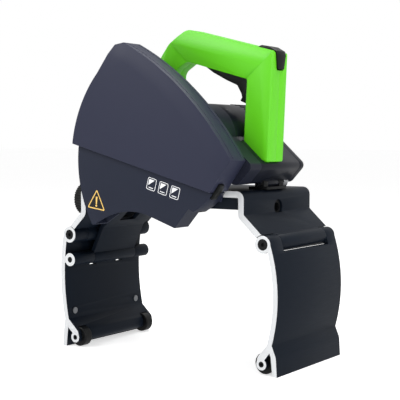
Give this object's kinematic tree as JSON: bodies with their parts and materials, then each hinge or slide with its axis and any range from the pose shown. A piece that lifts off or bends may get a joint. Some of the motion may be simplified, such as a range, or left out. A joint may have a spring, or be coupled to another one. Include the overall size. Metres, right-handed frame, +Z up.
{
  "type": "portable pipe saw",
  "caption": "Portable pipe saw on a hinged two-jaw pipe gripper with rollers, clamp screw, guarded toothed disc and D handle.",
  "frame": {"origin": "bottom centre of the whole object's box", "axes": "+X across the jaws towards the hinge of the saw, +Y along the pipe away from the disc, +Z up"},
  "size_m": [0.3774, 0.205, 0.4279],
  "materials": {
    "anodised": "dark anodised extrusion",
    "steel": "ground",
    "zinc_steel": "zinc plated",
    "bronze": "turned",
    "black_steel": "black powder coat",
    "black_plastic": "fine grained",
    "roller_plastic": "turned nylon",
    "guard_upper": "satin paint on die casting",
    "guard_lower": "satin paint on sheet",
    "cast_aluminium": "die cast and painted",
    "disc_steel": "ground with carbide tips",
    "motor_plastic": "glass filled nylon",
    "green_plastic": "bright green nylon",
    "iron": "laminated",
    "copper": "turned copper",
    "fan_plastic": "moulded"
  },
  "bodies": {
    "gripper": {"bridge_extrusion": "anodised", "left_hinge_rod": "steel", "right_hinge_rod": "steel", "hinge_rod_screws": "black_steel", "threaded_bush": "black_steel", "guide_bush": "black_steel", "front_roller_beam": "anodised", "rear_roller_beam": "anodised", "top_roller_pins": "steel", "saw_hinge_bracket": "black_steel", "saw_hinge_pin": "steel", "lift_spring": "steel"},
    "left_jaw": {"left_jaw": "anodised", "link_rod": "black_steel", "jaw_rivets": "zinc_steel", "left_axle": "black_steel"},
    "right_jaw": {"right_jaw": "anodised", "right_axle": "black_steel"},
    "link": {"link_plate": "anodised"},
    "carriage": {"screw_carriage": "black_steel"},
    "screw": {"lead_screw": "steel", "clamp_knob": "black_plastic"},
    "saw": {"blade_cover": "guard_upper", "guard_back_plate": "guard_upper", "gearbox_case": "cast_aluminium", "gearbox_cover": "cast_aluminium", "spindle_bearings": "steel", "rotor_bearings": "steel", "stator": "iron", "brush_holders": "bronze", "motor_housing": "motor_plastic", "motor_end_cap": "motor_plastic", "handle_front_shell": "green_plastic", "handle_rear_shell": "green_plastic", "handle_screws": "zinc_steel", "handle_pins": "steel", "power_switch": "black_plastic"},
    "lower_guard": {"lower_guard": "guard_lower", "guard_tab": "black_plastic"},
    "blade": {"cutting_disc": "disc_steel", "disc_flanges": "steel", "disc_bolt": "zinc_steel", "spindle": "steel", "spindle_gear": "steel"},
    "rotor": {"rotor_shaft": "steel", "armature": "iron", "commutator": "copper", "cooling_fan": "fan_plastic"},
    "trigger": {"trigger": "black_plastic"},
    "lock_lever": {"lock_lever": "black_plastic"},
    "spindle_lock": {"spindle_lock_button": "black_plastic"},
    "left_front_wheel": {"left_front_wheel": "roller_plastic"},
    "front_left_top_roller": {"front_left_top_roller": "roller_plastic"},
    "left_rear_wheel": {"left_rear_wheel": "roller_plastic"},
    "rear_left_top_roller": {"rear_left_top_roller": "roller_plastic"},
    "right_front_wheel": {"right_front_wheel": "roller_plastic"},
    "front_right_top_roller": {"front_right_top_roller": "roller_plastic"},
    "right_rear_wheel": {"right_rear_wheel": "roller_plastic"},
    "rear_right_top_roller": {"rear_right_top_roller": "roller_plastic"}
  },
  "joints": [
    {"name": "left_jaw_swing", "type": "hinge", "parent": "gripper", "child": "left_jaw", "pos_m": [-0.14467, 0.02, 0.1555], "axis": [0, -1, 0], "range_deg": [0, 32]},
    {"name": "right_jaw_swing", "type": "hinge", "parent": "gripper", "child": "right_jaw", "pos_m": [0.16733, 0.02, 0.1595], "axis": [0, 1, 0], "range_deg": [0, 32]},
    {"name": "link_swing", "type": "hinge", "parent": "left_jaw", "child": "link", "pos_m": [-0.14397, 0.02, 0.1208], "axis": [0, -1, 0], "range_deg": [-36.34, 0]},
    {"name": "carriage_slide", "type": "slide", "parent": "gripper", "child": "carriage", "axis": [1, 0, 0], "range_m": [0, 0.02511]},
    {"name": "clamp_screw_turn", "type": "hinge", "parent": "carriage", "child": "screw", "pos_m": [0.01533, 0.02, 0.2], "axis": [1, 0, 0], "range_deg": [0, 2245]},
    {"name": "saw_press", "type": "hinge", "parent": "gripper", "child": "saw", "pos_m": [0.12833, 0.02, 0.231], "axis": [0, -1, 0], "range_deg": [0, 15], "stiffness_Nm_per_rad": 11, "springref_deg": -51.57},
    {"name": "guard_swing", "type": "hinge", "parent": "saw", "child": "lower_guard", "pos_m": [0.06028, -0.0825, 0.25907], "axis": [0, 1, 0], "range_deg": [0, 35], "stiffness_Nm_per_rad": 0.25, "springref_deg": -91.67},
    {"name": "blade_spin", "type": "hinge", "parent": "saw", "child": "blade", "pos_m": [0.00961, -0.0625, 0.28248], "axis": [0, 1, 0], "continuous": true},
    {"name": "rotor_spin", "type": "hinge", "parent": "saw", "child": "rotor", "pos_m": [0.06938, -0.0025, 0.28771], "axis": [0, 1, 0], "continuous": true},
    {"name": "trigger_pull", "type": "hinge", "parent": "saw", "child": "trigger", "pos_m": [0.05862, -0.011, 0.38426], "axis": [0, -1, 0], "range_deg": [0, 6], "stiffness_Nm_per_rad": 0.6, "springref_deg": -28.65},
    {"name": "lock_press", "type": "hinge", "parent": "saw", "child": "lock_lever", "pos_m": [0.13939, -0.011, 0.39782], "axis": [0, 1, 0], "range_deg": [0, 4.5], "stiffness_Nm_per_rad": 0.5, "springref_deg": -17.19},
    {"name": "spindle_lock_push", "type": "slide", "parent": "saw", "child": "spindle_lock", "axis": [0, -1, 0], "range_m": [0, 0.004], "stiffness_N_per_m": 900, "springref_m": -0.004},
    {"name": "left_front_wheel_roll", "type": "hinge", "parent": "left_jaw", "child": "left_front_wheel", "pos_m": [-0.13527, 0.02, 0.0136], "axis": [0, 1, 0], "continuous": true},
    {"name": "left_rear_wheel_roll", "type": "hinge", "parent": "left_jaw", "child": "left_rear_wheel", "pos_m": [-0.13527, 0.02, 0.0136], "axis": [0, 1, 0], "continuous": true},
    {"name": "right_front_wheel_roll", "type": "hinge", "parent": "right_jaw", "child": "right_front_wheel", "pos_m": [0.16593, 0.02, 0.0136], "axis": [0, 1, 0], "continuous": true},
    {"name": "right_rear_wheel_roll", "type": "hinge", "parent": "right_jaw", "child": "right_rear_wheel", "pos_m": [0.16593, 0.02, 0.0136], "axis": [0, 1, 0], "continuous": true},
    {"name": "front_left_top_roller_roll", "type": "hinge", "parent": "gripper", "child": "front_left_top_roller", "pos_m": [-0.03667, 0.02, 0.2042], "axis": [0, 1, 0], "continuous": true},
    {"name": "front_right_top_roller_roll", "type": "hinge", "parent": "gripper", "child": "front_right_top_roller", "pos_m": [0.06733, 0.02, 0.2042], "axis": [0, 1, 0], "continuous": true},
    {"name": "rear_left_top_roller_roll", "type": "hinge", "parent": "gripper", "child": "rear_left_top_roller", "pos_m": [-0.03667, 0.02, 0.2042], "axis": [0, 1, 0], "continuous": true},
    {"name": "rear_right_top_roller_roll", "type": "hinge", "parent": "gripper", "child": "rear_right_top_roller", "pos_m": [0.06733, 0.02, 0.2042], "axis": [0, 1, 0], "continuous": true}
  ],
  "couplings": [
    {"joint": "carriage_slide", "follows": "left_jaw_swing", "m_per_rad": 0.0446},
    {"joint": "link_swing", "follows": "left_jaw_swing", "ratio": -1.12},
    {"joint": "clamp_screw_turn", "follows": "left_jaw_swing", "ratio": 70},
    {"joint": "rotor_spin", "follows": "blade_spin", "ratio": -5.8571}
  ]
}
